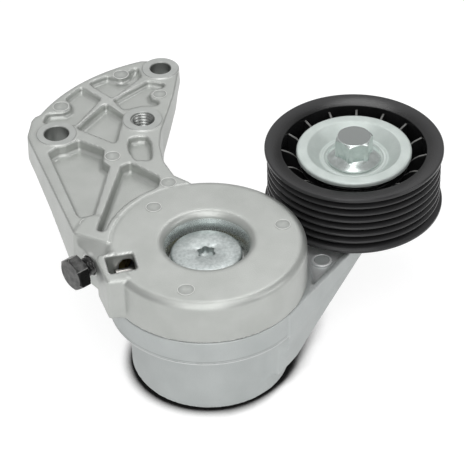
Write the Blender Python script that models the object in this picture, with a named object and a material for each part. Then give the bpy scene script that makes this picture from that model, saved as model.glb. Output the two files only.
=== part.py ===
"""Belt tensioner idler: a cast bracket with a spring housing, a swinging arm and a grooved pulley.

The frame has its origin on the pivot axis at the flat bottom of the arm's cup. +Z runs up the pivot axis and
+X points from the pivot axis to the pulley axis with the arm at its free stop. Lengths are in millimetres here
and are written to the meshes in metres.
"""

import math

import bmesh
import bpy
from mathutils import Vector

MM = 0.001
GAP = 0.3  # clearance left between pieces that touch

# The arm: cup, rim band, beam and pulley post. Its length follows from the cap and the pulley it holds apart.
PULLEY_CLEARANCE = 2.7
CUP_RADIUS = 32.2
CUP_WALL = 3.8
CUP_FLOOR = 4.0
CUP_EDGE = 1.6
BAND_BOTTOM = 30.9
BAND_TOP = 42.2
BAND_RADIUS = 40.4
BEAM_ROOT_RADIUS = 40.8
BEAM_TIP_RADIUS = 14.5
BEAM_TOP = 38.4
BEAM_SLOPE_START = 22.0
BEAM_SLOPE_END = 54.0
BEAM_LIP = 3.4
BEAM_FLOOR = 36.4
POST_RADIUS = 11.5
THREAD_END = 36.0
LUG_ANGLES = (80.0, 88.0)
# (x, y) where the beam's side leaves the cup, and (x, z) along the beam's underside
BEAM_ROOT = [(2, 24), (6, 31), (9.5, 34.8), (12, 37.2)]
BEAM_UNDERSIDE = [(-10, 10.5), (66, 29.6), (74, 31.0), (110, 31.0)]

# The bracket: spring cap, hub, ribbed plate, window boss and bolt boss.
CAP_RADIUS = 40.6
CAP_TOP = 61.6
CAP_WALL = 3.6
CAP_ROOF = 5.2
CAP_FILLET = 3.0
HUB_RADIUS = 20.0
HUB_BORE = 12.6
HUB_BOTTOM = 16.0
RECESS_RADIUS = 17.0
RECESS_DEPTH = 12.1
PLATE_THICKNESS = 7.6
POCKET_DEPTHS = (4.8, 4.8, 3.6, 2.6, 2.6, 2.6, 3.4)  # in the order of the pockets below
PAD_HEIGHT = 0.5
BOSS_TOP = 57.0
WINDOW_FLOOR = 46.0
# (x, y, hole radius, pad radius) of the engine-side holes
LEFT_HOLE = (-0.8, 98.3, 5.25, 8.75)
TIP_HOLE = (63.1, 106.7, 4.5, 8.3)
CENTRE_HOLE = (33.1, 81.9, 4.3, 8.75)
OUTER_ARC = (35.0, 47.0, 75.2)
CORNER_RADIUS = 12.5
# (x, y) corners of the plate's free edges, its bosses and the window
PLATE_SHOULDER = [(-0.3, 115.0), (-3.0, 113.6), (-5.4, 111.2)]
PLATE_LOWER_END = [(-36.7, 39.5), (-30.4, 25.3), (-5, 18), (12, 24)]
PLATE_RIGHT_EDGE = [(20.3, 34.4), (18.3, 42.4), (21.4, 52.7), (27.6, 63.2), (34.6, 70.6)]
PLATE_RIGHT_EDGE += [(46.0, 79.8), (55.8, 88.0)]
BOLT_BOSS = [(-36.3, 39.6), (-37.5, 36), (-38.0, 20.5), (-25, 16), (-15, 32), (-25, 45)]
WINDOW_BOSS = [(-38, 22), (-40.4, 19.8), (-45.0, 8), (-45.5, 6.4), (-44.9, 5.3), (-40.6, 2.6), (-39.6, 2.5)]
WINDOW_BOSS += [(-30, 4), (-28, 18)]
WINDOW = [(-36.5, 19.2), (-26.4, 13.9), (-31.1, 4.7), (-41.6, 9.4)]
# y where the plate's underside starts, leaves the cap's bottom, has its step, reaches its full rise and ends
PLATE_SLOPE = (15, 46, 57, 95, 130)
PLATE_STEP = 2.5
# (x, y) corners of the pockets between the ribs; the cap's rim closes the second one
LEFT_POCKET = [(-11.3, 90.2), (-6, 90.9), (-2.5, 89.2), (3.8, 88.9), (7.8, 76.3), (2.1, 69.7), (2.3, 65.4)]
LEFT_POCKET += [(-22.9, 43.4), (-28.9, 46.3)]
CAP_POCKET = [(-28.6, 34.6), (5.8, 62.2), (10.3, 61.7), (13.0, 46.2), (11.6, 43.4)]
MIDDLE_POCKET = [(8.2, 96.4), (29.1, 102.6), (29.2, 89.9), (15.5, 77.4), (13.7, 77.0)]
OUTER_POCKET = [(-0.5, 109.2), (5.5, 113.0), (8.3, 111.2), (11.2, 108.9), (15.2, 109.2), (17.4, 112.6)]
OUTER_POCKET += [(18.0, 116.8), (28.6, 119.4), (29.7, 106.4), (9.5, 98.0)]
TOP_POCKET = [(32.6, 119.6), (42.2, 118.4), (43.6, 115.6), (45.5, 112.2), (49.6, 112.0), (51.9, 114.6)]
TOP_POCKET += [(54.7, 115.0), (56.0, 113.5), (53.2, 107.8), (33.4, 103.1)]
TIP_POCKET = [(32.7, 102.2), (53.0, 103.2), (57.6, 96.6), (54.8, 94.6), (51.5, 96.4), (47.6, 95.2)]
TIP_POCKET += [(45.9, 91.6), (47.2, 88.2), (45.0, 85.6), (39.5, 90.4), (31.8, 93.2)]
RIGHT_POCKET = [(12.8, 61.6), (14.4, 67.5), (17.0, 72.0), (20.6, 75.2), (24.5, 74.0), (27.0, 71.2)]
RIGHT_POCKET += [(25.8, 67.0), (22.2, 61.8), (17.8, 56.8)]

# The pivot pin and the pieces stacked under its head.
PIN_RADIUS = 10.1
PIN_HEAD_RADIUS = 14.5
PIN_HEAD_DEPTH = 5.6
BUSH_FLANGE = 1.2
WASHER_THICKNESS = 1.0
SEAT_THICKNESS = 1.7
DAMPER_WIDTH = 3.3
DAMPER_HEIGHT = 4.7

# The torsion spring.
SPRING_RADIUS = 24.6
WIRE_RADIUS = 2.5
SPRING_TURNS = 4.75
TANG_ANGLE = 157.0
TANG_REACH = 38.0

# The pulley and its deep-groove bearing.
PULLEY_LIFT = 2.8  # from the beam's top to the pulley
EDGE_LAND = 1.54
FLANGE_RADIUS = 37.4
CREST_RADIUS = 36.4
VALLEY_RADIUS = 33.8
GROOVE_PITCH = 3.56
GROOVES = 7
OPENING_RADIUS = 30.3
WEB_RIBS = 16
BEARING_BORE = 8.5
BEARING_RADIUS = 20.0
BEARING_WIDTH = 12.0
BEARING_DROP = 7.7
RING_WALL = 2.4
BALLS = 8
SHIELD_RADIUS = 24.1
SHIELD_SHEET = 1.0

# The fasteners: an M10 flange bolt and an M8 stop bolt.
PULLEY_BOLT_FLATS = 14.0
PULLEY_BOLT_FLANGE = 11.5
PULLEY_BOLT_SHANK = 4.9
PULLEY_BOLT_HEAD = 8.2
STOP_BOLT_FLATS = 13.0
STOP_BOLT_SHANK = 4.0
STOP_BOLT_HEAD = 5.3
STOP_BOLT_LENGTH = 23.4
STOP_BOLT_ROOM = 4.7  # beyond its tip
STOP_BOLT_POSITION = (-42.1, 28.1, 52.5)  # under the head

ARM_LENGTH = CAP_RADIUS + PULLEY_CLEARANCE + FLANGE_RADIUS
PULLEY_WIDTH = GROOVES * GROOVE_PITCH + 2 * EDGE_LAND
PULLEY_BOTTOM = BEAM_TOP + PULLEY_LIFT
PULLEY_TOP = PULLEY_BOTTOM + PULLEY_WIDTH
CAP_BOTTOM = BAND_TOP + GAP
CAP_INNER = CAP_RADIUS - CAP_WALL
ROOF_UNDER = CAP_TOP - CAP_ROOF
RECESS_FLOOR = CAP_TOP - RECESS_DEPTH
PIN_BORE = PIN_RADIUS + GAP
CUP_INNER = CUP_RADIUS - CUP_WALL
BEARING_TOP = PULLEY_TOP - BEARING_DROP
BEARING_BOTTOM = BEARING_TOP - BEARING_WIDTH
BALL_PITCH = (BEARING_BORE + BEARING_RADIUS) / 2
INNER_RACE = BEARING_BORE + RING_WALL
OUTER_RACE = BEARING_RADIUS - RING_WALL
BALL_RADIUS = (OUTER_RACE - INNER_RACE) / 2 - GAP
BALL_HEIGHT = (BEARING_TOP + BEARING_BOTTOM) / 2
SHIELD_BOTTOM = BEARING_TOP + GAP
BOLT_SEAT = SHIELD_BOTTOM + SHIELD_SHEET + GAP

STEPS = 40
FINE_STEPS = 28

for old in list(bpy.data.objects):
    bpy.data.objects.remove(old, do_unlink=True)


def material(name, colour, metallic, roughness):
    made = bpy.data.materials.new(name)
    made.use_nodes = True
    shader = made.node_tree.nodes["Principled BSDF"]
    shader.inputs["Base Color"].default_value = (*colour, 1.0)
    shader.inputs["Metallic"].default_value = metallic
    shader.inputs["Roughness"].default_value = roughness
    return made


CAST = material("cast_aluminium", (0.52, 0.53, 0.51), 0.9, 0.45)
ZINC = material("zinc_plate", (0.70, 0.74, 0.72), 1.0, 0.3)
BLACK = material("black_nylon", (0.02, 0.02, 0.02), 0.0, 0.4)
OXIDE = material("black_oxide", (0.05, 0.05, 0.05), 0.8, 0.45)
STEEL = material("bearing_steel", (0.6, 0.6, 0.6), 1.0, 0.25)
SPRING = material("spring_steel", (0.35, 0.34, 0.33), 1.0, 0.4)
POLYMER = material("amber_polymer", (0.55, 0.45, 0.16), 0.0, 0.5)
RUBBER = material("seal_rubber", (0.03, 0.03, 0.03), 0.0, 0.7)


def body_frame(name, location):
    frame = bpy.data.objects.new(name, None)
    frame.location = Vector(location) * MM
    bpy.context.scene.collection.objects.link(frame)
    return frame


BRACKET_FRAME = body_frame("bracket_frame", (0, 0, 0))
ARM_FRAME = body_frame("arm_frame", (0, 0, 0))
PULLEY_FRAME = body_frame("pulley_frame", (ARM_LENGTH, 0, 0))
BALL_FRAME = body_frame("ball_frame", (ARM_LENGTH, 0, 0))
BOLT_FRAME = body_frame("bolt_frame", STOP_BOLT_POSITION)


def finish(name, mesh, look=None, frame=None):
    """Turns a bmesh in millimetres into an object. With no frame it becomes a hidden tool for a Boolean."""
    bmesh.ops.recalc_face_normals(mesh, faces=mesh.faces)
    offset = frame.location / MM if frame else Vector((0, 0, 0))
    for vertex in mesh.verts:
        vertex.co = (vertex.co - offset) * MM
    data = bpy.data.meshes.new(name)
    mesh.to_mesh(data)
    mesh.free()
    made = bpy.data.objects.new(name, data)
    bpy.context.scene.collection.objects.link(made)
    if frame:
        made.parent = frame
        data.materials.append(look)
    else:
        made.hide_render = True
        made.display_type = "WIRE"
    return made


def boolean(target, tool, operation):
    modifier = target.modifiers.new(operation.lower(), "BOOLEAN")
    modifier.solver = "EXACT"
    modifier.operation = operation
    modifier.object = tool


def revolve(profile, steps=STEPS, centre=(0.0, 0.0)):
    """A closed (radius, height) profile turned round the vertical line through centre."""
    mesh = bmesh.new()
    rings = []
    for radius, height in profile:
        count = steps if radius > 0 else 1
        turns = [2 * math.pi * i / steps for i in range(count)]
        rings.append(
            [
                mesh.verts.new((centre[0] + radius * math.cos(t), centre[1] + radius * math.sin(t), height))
                for t in turns
            ]
        )
    for first, second in zip(rings, rings[1:] + rings[:1]):
        if len(first) == 1 and len(second) == 1:
            continue
        for i in range(steps):
            j = (i + 1) % steps
            corners = [first[i % len(first)], first[j % len(first)]]
            corners += [second[j % len(second)], second[i % len(second)]]
            mesh.faces.new(list(dict.fromkeys(corners)))
    return mesh


def ring(inner, outer, bottom, top):
    return [(inner, bottom), (outer, bottom), (outer, top), (inner, top)]


def prism(outline, start, end, place=lambda u, v, w: (u, v, w)):
    """An outline in (u, v) swept along w from start to end; place says which way the three run."""
    mesh = bmesh.new()
    lower = [mesh.verts.new(place(u, v, start)) for u, v in outline]
    upper = [mesh.verts.new(place(u, v, end)) for u, v in outline]
    mesh.faces.new(lower)
    mesh.faces.new(upper)
    for i in range(len(outline)):
        j = (i + 1) % len(outline)
        mesh.faces.new((lower[i], lower[j], upper[j], upper[i]))
    return mesh


def arc(x, y, radius, start, end, count):
    angles = [math.radians(start + (end - start) * i / (count - 1)) for i in range(count)]
    return [(x + radius * math.cos(a), y + radius * math.sin(a)) for a in angles]


def along_x(u, v, w):
    return (w, u, v)


def along_y(u, v, w):
    return (u, w, v)


def joined(meshes):
    """Several meshes that don't touch, as the single tool of one Boolean."""
    whole = bmesh.new()
    for mesh in meshes:
        found = {vertex: whole.verts.new(vertex.co) for vertex in mesh.verts}
        for face in mesh.faces:
            whole.faces.new([found[vertex] for vertex in face.verts])
        mesh.free()
    return whole


def make_bracket():
    """One aluminium casting: the cap is a turned shape and the plate is its plan outline cut to a side view."""
    left_x, left_y = LEFT_HOLE[:2]
    tip_x, tip_y, tip_hole, tip_pad = TIP_HOLE
    outline = arc(tip_x, tip_y, tip_pad, -48, 85, 8)
    outline += arc(*OUTER_ARC, 70, 115.5, 12) + PLATE_SHOULDER
    outline += arc(left_x, left_y, CORNER_RADIUS, 128, 158, 5)
    outline += PLATE_LOWER_END + PLATE_RIGHT_EDGE
    under = CAP_TOP - PLATE_THICKNESS
    side_view = list(zip(PLATE_SLOPE, (CAP_BOTTOM, CAP_BOTTOM, CAP_BOTTOM + PLATE_STEP, under, under)))
    side_view += [(PLATE_SLOPE[-1], CAP_TOP), (PLATE_SLOPE[0], CAP_TOP)]
    plate = finish("plate_tool", prism(outline, CAP_BOTTOM - 5, CAP_TOP + 5))
    boolean(plate, finish("plate_side_tool", prism(side_view, -60, 90, along_x)), "INTERSECT")

    boolean(plate, finish("bolt_boss_tool", prism(BOLT_BOSS, CAP_BOTTOM, BOSS_TOP)), "UNION")
    boolean(plate, finish("window_boss_tool", prism(WINDOW_BOSS, CAP_BOTTOM, CAP_TOP)), "UNION")
    for name, (x, y, hole, pad) in zip(("left", "tip", "centre"), (LEFT_HOLE, TIP_HOLE, CENTRE_HOLE)):
        low = under - 1.5
        high = CAP_TOP + PAD_HEIGHT
        boolean(plate, finish(f"{name}_pad_tool", prism(arc(x, y, pad, 0, 345, 24), low, high)), "UNION")

    rim = CAP_RADIUS + 0.8
    cap_pocket = CAP_POCKET[1:] + arc(0, 0, rim, 79.5, 130, 7) + CAP_POCKET[:1]
    pockets = [LEFT_POCKET, cap_pocket, MIDDLE_POCKET, OUTER_POCKET, TOP_POCKET, TIP_POCKET, RIGHT_POCKET]
    cuts = [prism(pocket, CAP_TOP - depth, CAP_TOP + 3) for pocket, depth in zip(pockets, POCKET_DEPTHS)]
    boolean(plate, finish("pocket_tool", joined(cuts)), "DIFFERENCE")
    holes = [
        prism(arc(x, y, hole, 0, 345, 24), CAP_BOTTOM - 3, CAP_TOP + 3)
        for x, y, hole, pad in (LEFT_HOLE, TIP_HOLE, CENTRE_HOLE)
    ]
    boolean(plate, finish("hole_tool", joined(holes)), "DIFFERENCE")
    inside = ring(0, (CAP_INNER + CAP_RADIUS) / 2, CAP_BOTTOM - 5, CAP_TOP + 5)
    boolean(plate, finish("cap_inside_tool", revolve(inside)), "DIFFERENCE")

    round_edge = [(CAP_RADIUS - CAP_FILLET, CAP_TOP - CAP_FILLET)]
    profile = [(CAP_INNER, CAP_BOTTOM), (CAP_RADIUS, CAP_BOTTOM)]
    profile += arc(*round_edge[0], CAP_FILLET, 0, 90, 5)
    profile += [(RECESS_RADIUS + 2.0, CAP_TOP), (RECESS_RADIUS + 0.5, CAP_TOP - 0.6)]
    profile += [(RECESS_RADIUS, CAP_TOP - 2.2)]
    profile += [(RECESS_RADIUS, RECESS_FLOOR), (HUB_BORE, RECESS_FLOOR), (HUB_BORE, HUB_BOTTOM)]
    profile += [(HUB_RADIUS, HUB_BOTTOM), (HUB_RADIUS, ROOF_UNDER), (CAP_INNER, ROOF_UNDER)]
    bracket = finish("mounting_bracket", revolve(profile), CAST, BRACKET_FRAME)
    boolean(bracket, plate, "UNION")
    boolean(bracket, finish("window_tool", prism(WINDOW, WINDOW_FLOOR, CAP_TOP + 3)), "DIFFERENCE")
    seat, bolt_y, bolt_z = STOP_BOLT_POSITION
    bolt_hole = arc(bolt_y, bolt_z, STOP_BOLT_SHANK + GAP, 0, 342, 20)
    inner_end = seat + STOP_BOLT_LENGTH + STOP_BOLT_ROOM
    boolean(bracket, finish("bolt_hole_tool", prism(bolt_hole, seat - 2, inner_end, along_x)), "DIFFERENCE")


def make_arm():
    """One aluminium casting: the cup and post are turned shapes, and the beam is its plan cut to its side view."""
    lean = math.degrees(math.acos((BEAM_ROOT_RADIUS - BEAM_TIP_RADIUS) / ARM_LENGTH))
    outline = [(x, -y) for x, y in BEAM_ROOT]
    outline += arc(ARM_LENGTH, 0, BEAM_TIP_RADIUS, -lean, lean, 12)
    outline += BEAM_ROOT[::-1]
    beam = finish("beam_tool", prism(outline, 0, 60))
    side_view = BEAM_UNDERSIDE + [(BEAM_UNDERSIDE[-1][0], BEAM_TOP), (BEAM_SLOPE_END, BEAM_TOP)]
    side_view += [(BEAM_SLOPE_START, BAND_TOP), (BEAM_UNDERSIDE[0][0], BAND_TOP)]
    boolean(beam, finish("beam_side_tool", prism(side_view, -60, 60, along_y)), "INTERSECT")

    def between_lips(lip, near, far):
        root = BEAM_ROOT_RADIUS - lip
        tip = BEAM_TIP_RADIUS - lip
        near_angle = lean - math.degrees(math.acos(root / near))
        far_angle = lean + math.degrees(math.acos(tip / far))
        near_edge = arc(0, 0, near, near_angle, -near_angle, 9)
        return near_edge + arc(ARM_LENGTH, 0, far, -far_angle, far_angle - 360, 9)

    upper = prism(between_lips(BEAM_LIP, CAP_RADIUS + 2.5, POST_RADIUS + 2.5), BEAM_FLOOR, 60)
    boolean(beam, finish("beam_pocket_tool", upper), "DIFFERENCE")
    lower = prism(between_lips(BEAM_LIP + 0.8, BEAM_ROOT_RADIUS, POST_RADIUS + 3), 0, BEAM_FLOOR - 3.6)
    boolean(beam, finish("beam_hollow_tool", lower), "DIFFERENCE")
    inside = ring(0, CUP_RADIUS - CUP_WALL / 2, -5, 70)
    boolean(beam, finish("cup_inside_tool", revolve(inside)), "DIFFERENCE")

    boss = PIN_BORE + 4.6
    profile = [(0, 0), (CUP_RADIUS - CUP_EDGE, 0), (CUP_RADIUS - 0.3 * CUP_EDGE, 0.3 * CUP_EDGE)]
    profile += [(CUP_RADIUS, CUP_EDGE), (CUP_RADIUS, BAND_BOTTOM), (BAND_RADIUS, BAND_BOTTOM)]
    profile += [(BAND_RADIUS, BAND_TOP), (CUP_INNER, BAND_TOP)]
    profile += [(CUP_INNER, CUP_FLOOR), (boss, CUP_FLOOR), (boss, HUB_BOTTOM - 2), (PIN_BORE, HUB_BOTTOM - 2)]
    profile += [(PIN_BORE, CUP_FLOOR - 0.6), (0, CUP_FLOOR - 0.6)]
    arm = finish("tensioner_arm", revolve(profile), CAST, ARM_FRAME)
    boolean(arm, beam, "UNION")
    shoulder = BEARING_BOTTOM - GAP
    spigot = BEARING_BORE - GAP
    thread = PULLEY_BOLT_SHANK + GAP
    post = [(0, 29.5), (POST_RADIUS + 2, 29.5), (POST_RADIUS + 2, BEAM_TOP - 1), (POST_RADIUS, BEAM_TOP + 1)]
    post += [(POST_RADIUS, shoulder), (spigot, shoulder), (spigot, BEARING_TOP - GAP)]
    post += [(thread, BEARING_TOP - GAP)]
    post += [(thread, 45), (0, 45)]
    boolean(arm, finish("post_tool", revolve(post, FINE_STEPS, (ARM_LENGTH, 0))), "UNION")
    thread_hole = ring(0, thread, THREAD_END, BEARING_TOP)
    boolean(arm, finish("thread_hole_tool", revolve(thread_hole, FINE_STEPS, (ARM_LENGTH, 0))), "DIFFERENCE")
    lug = arc(0, 0, CUP_INNER + 0.4, *LUG_ANGLES, 3) + arc(0, 0, CAP_INNER - 4.2, *LUG_ANGLES[::-1], 3)
    boolean(arm, finish("lug_tool", prism(lug, BAND_TOP - 3, ROOF_UNDER - 2.4)), "UNION")


def make_pivot():
    """The pin pressed into the arm, the bush it turns in, its thrust washer and the ring that damps the arm."""
    flange = RECESS_FLOOR + GAP
    bush = [(PIN_BORE, HUB_BOTTOM - 1), (HUB_BORE - GAP, HUB_BOTTOM - 1), (HUB_BORE - GAP, flange)]
    outer = RECESS_RADIUS - GAP
    bush += [(outer, flange), (outer, flange + BUSH_FLANGE), (PIN_BORE, flange + BUSH_FLANGE)]
    finish("pivot_bush", revolve(bush, FINE_STEPS), POLYMER, BRACKET_FRAME)
    washer = flange + BUSH_FLANGE + GAP
    washer_ring = ring(PIN_BORE, PIN_HEAD_RADIUS + 0.9, washer, washer + WASHER_THICKNESS)
    finish("thrust_washer", revolve(washer_ring, FINE_STEPS), STEEL, ARM_FRAME)
    head = washer + WASHER_THICKNESS + GAP
    top = CAP_TOP - PIN_HEAD_DEPTH
    foot = CUP_FLOOR - 0.6 + GAP
    profile = [(0, foot), (PIN_RADIUS - 1, foot), (PIN_RADIUS, foot + 1), (PIN_RADIUS, head)]
    profile += [(PIN_HEAD_RADIUS, head), (PIN_HEAD_RADIUS, top - 0.6), (PIN_HEAD_RADIUS - 0.6, top), (0, top)]
    pin = finish("pivot_pin", revolve(profile, FINE_STEPS), ZINC, ARM_FRAME)
    lobes = [(3.35 + 0.5 * math.cos(math.radians(15 * i * 6)), 15 * i) for i in range(24)]
    recess = [(r * math.cos(math.radians(a)), r * math.sin(math.radians(a))) for r, a in lobes]
    boolean(pin, finish("pin_recess_tool", prism(recess, top - 2.4, top + 2)), "DIFFERENCE")

    damper_outer = CAP_INNER - GAP
    damper_bottom = BAND_TOP + GAP
    damper = ring(damper_outer - DAMPER_WIDTH, damper_outer, damper_bottom, damper_bottom + DAMPER_HEIGHT)
    finish("damper_ring", revolve(damper, FINE_STEPS), POLYMER, BRACKET_FRAME)


def make_spring():
    """A round-wire torsion spring between two polymer seats; its upper end turns out into the window."""
    seat_bottom = CUP_FLOOR + GAP
    seat = ring(PIN_BORE + 5, CUP_INNER - GAP, seat_bottom, seat_bottom + SEAT_THICKNESS)
    finish("lower_spring_seat", revolve(seat, FINE_STEPS), BLACK, ARM_FRAME)
    seat_top = ROOF_UNDER - GAP
    seat = ring(HUB_RADIUS + GAP, SPRING_RADIUS + WIRE_RADIUS + 0.6, seat_top - SEAT_THICKNESS, seat_top)
    finish("upper_spring_seat", revolve(seat, FINE_STEPS), BLACK, BRACKET_FRAME)

    low = seat_bottom + SEAT_THICKNESS + GAP + WIRE_RADIUS
    high = seat_top - SEAT_THICKNESS - GAP - WIRE_RADIUS
    bend = 5.0
    end_angle = math.radians(TANG_ANGLE) - math.asin(bend / (SPRING_RADIUS + bend))
    per_turn = 20
    count = int(SPRING_TURNS * per_turn)
    path = []
    for i in range(count + 1):
        share = i / count
        angle = end_angle - 2 * math.pi * SPRING_TURNS * (1 - share)
        across = SPRING_RADIUS * Vector((math.cos(angle), math.sin(angle), 0))
        path.append(across + Vector((0, 0, low + (high - low) * share)))
    out = Vector((math.cos(end_angle), math.sin(end_angle), 0))
    forward = Vector((-out.y, out.x, 0))
    last = path[-1]
    sweep = math.radians(TANG_ANGLE) - end_angle
    turn = math.pi / 2 - sweep
    for i in range(1, 5):
        a = turn * i / 4
        path.append(last + out * bend * (1 - math.cos(a)) + forward * bend * math.sin(a))
    heading = (path[-1] - path[-2]).normalized()
    reach = TANG_REACH - math.hypot(path[-1].x, path[-1].y)
    path.append(path[-1] + heading * reach)

    mesh = bmesh.new()
    sides = 8
    rings = []
    for i, point in enumerate(path):
        tangent = (path[min(i + 1, len(path) - 1)] - path[max(i - 1, 0)]).normalized()
        across = tangent.cross(Vector((0, 0, 1))).normalized()
        upright = across.cross(tangent)
        rings.append(
            [
                mesh.verts.new(point + (across * math.cos(a) + upright * math.sin(a)) * WIRE_RADIUS)
                for a in (2 * math.pi * k / sides for k in range(sides))
            ]
        )
    for first, second in zip(rings, rings[1:]):
        for k in range(sides):
            n = (k + 1) % sides
            mesh.faces.new((first[k], first[n], second[n], second[k]))
    mesh.faces.new(rings[0])
    mesh.faces.new(rings[-1])
    finish("torsion_spring", mesh, SPRING, BRACKET_FRAME)


def make_pulley():
    """A moulded wheel with seven V grooves, a recessed web and radial ribs."""
    hub_inner = BEARING_RADIUS + GAP
    hub_outer = hub_inner + 2.6
    web_top = BALL_HEIGHT + 2.0
    web_bottom = BALL_HEIGHT - 2.0
    edge = EDGE_LAND
    profile = [(hub_inner, BEARING_BOTTOM + 0.6), (hub_outer, BEARING_BOTTOM + 0.6), (hub_outer, web_bottom)]
    profile += [(OPENING_RADIUS, web_bottom), (OPENING_RADIUS, PULLEY_BOTTOM + 1.3)]
    profile += [(FLANGE_RADIUS - 0.4, PULLEY_BOTTOM), (FLANGE_RADIUS, PULLEY_BOTTOM + 0.5)]
    profile += [(FLANGE_RADIUS, PULLEY_BOTTOM + edge)]
    for groove in range(GROOVES):
        middle = PULLEY_BOTTOM + edge + GROOVE_PITCH * (groove + 0.5)
        profile += [(VALLEY_RADIUS, middle - 0.4), (VALLEY_RADIUS, middle + 0.4)]
        if groove < GROOVES - 1:
            crest = middle + GROOVE_PITCH / 2
            profile += [(CREST_RADIUS, crest - 0.4), (CREST_RADIUS, crest + 0.4)]
    profile += [(FLANGE_RADIUS, PULLEY_TOP - edge), (FLANGE_RADIUS, PULLEY_TOP - 0.5)]
    profile += [(FLANGE_RADIUS - 0.4, PULLEY_TOP)]
    profile += [(OPENING_RADIUS, PULLEY_TOP - 1.3), (OPENING_RADIUS, web_top), (hub_outer, web_top)]
    profile += [(hub_outer, BEARING_TOP - 0.6), (hub_inner, BEARING_TOP - 0.6)]
    wheel = finish("pulley_wheel", revolve(profile, STEPS, (ARM_LENGTH, 0)), BLACK, PULLEY_FRAME)
    rib = [(hub_outer - 1, web_top - 1), (OPENING_RADIUS + 1, web_top - 1)]
    rib += [(OPENING_RADIUS + 1, PULLEY_TOP - 3.2), (SHIELD_RADIUS + 1.2, PULLEY_TOP - 5.4)]
    rib += [(hub_outer - 1, BEARING_TOP - 2)]
    ribs = []
    for i in range(WEB_RIBS):
        angle = 2 * math.pi * i / WEB_RIBS
        c, s = math.cos(angle), math.sin(angle)
        ribs.append(prism(rib, -0.6, 0.6, lambda u, v, w: (ARM_LENGTH + u * c - w * s, u * s + w * c, v)))
    boolean(wheel, finish("web_rib_tool", joined(ribs)), "UNION")


def make_bearing():
    """A sealed deep-groove ball bearing between the arm's post and the pulley."""
    axis = (ARM_LENGTH, 0)
    inner = ring(BEARING_BORE, INNER_RACE, BEARING_BOTTOM, BEARING_TOP)
    finish("bearing_inner_ring", revolve(inner, FINE_STEPS, axis), STEEL, ARM_FRAME)
    outer = ring(OUTER_RACE, BEARING_RADIUS, BEARING_BOTTOM, BEARING_TOP)
    finish("bearing_outer_ring", revolve(outer, FINE_STEPS, axis), STEEL, PULLEY_FRAME)
    for name, bottom in (("front_seal", BEARING_TOP - GAP - 0.9), ("rear_seal", BEARING_BOTTOM + GAP)):
        seal = ring(INNER_RACE + GAP, OUTER_RACE - GAP, bottom, bottom + 0.9)
        finish(name, revolve(seal, FINE_STEPS, axis), RUBBER, PULLEY_FRAME)

    half = BALL_RADIUS + 1.2
    cage_ring = ring(BALL_PITCH - 0.8, BALL_PITCH + 0.8, BALL_HEIGHT - half, BALL_HEIGHT + half)
    cage = finish("ball_cage", revolve(cage_ring, FINE_STEPS, axis), STEEL, BALL_FRAME)
    holes = []
    for i in range(BALLS):
        angle = 2 * math.pi * i / BALLS
        centre = (ARM_LENGTH + BALL_PITCH * math.cos(angle), BALL_PITCH * math.sin(angle), BALL_HEIGHT)
        ball = bmesh.new()
        bmesh.ops.create_uvsphere(ball, u_segments=10, v_segments=7, radius=BALL_RADIUS)
        bmesh.ops.translate(ball, verts=ball.verts, vec=centre)
        finish(f"ball_{i + 1}", ball, STEEL, BALL_FRAME)
        c, s = math.cos(angle), math.sin(angle)
        pocket = arc(0, BALL_HEIGHT, BALL_RADIUS + 2 * GAP, 0, 330, 12)
        reach = (BALL_PITCH - 3, BALL_PITCH + 3)
        holes.append(prism(pocket, *reach, lambda u, v, w: (ARM_LENGTH + w * c - u * s, w * s + u * c, v)))
    boolean(cage, finish("ball_pocket_tool", joined(holes)), "DIFFERENCE")


def make_shield():
    """A pressed zinc-plated dust shield, dished down to the seat under the bolt's flange."""
    low = SHIELD_BOTTOM
    rise = PULLEY_TOP - 1.7 - low
    sheet = SHIELD_SHEET
    bore = PULLEY_BOLT_SHANK + 2 * GAP
    rim = SHIELD_RADIUS
    upper = [(bore, low + sheet), (12.4, low + sheet), (13.2, low + sheet + 0.5), (14.2, low + sheet + 0.2)]
    upper += [(20.2, low + rise - 0.5), (21.2, low + rise), (rim - 0.5, low + rise), (rim, low + rise - 0.5)]
    upper += [(rim, low + rise - 2.2)]
    under = [(rim - sheet, low + rise - 2.2), (rim - sheet, low + rise - sheet), (21.6, low + rise - sheet)]
    under += [(20.7, low + rise - 0.5 - sheet), (14.5, low), (12.6, low), (bore, low)]
    finish("dust_shield", revolve(upper + under, FINE_STEPS, (ARM_LENGTH, 0)), ZINC, ARM_FRAME)


def hexagon(across_flats, turn):
    corner = across_flats / math.sqrt(3)
    angles = [math.radians(60 * i + turn) for i in range(6)]
    return [(corner * math.cos(a), corner * math.sin(a)) for a in angles]


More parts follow.
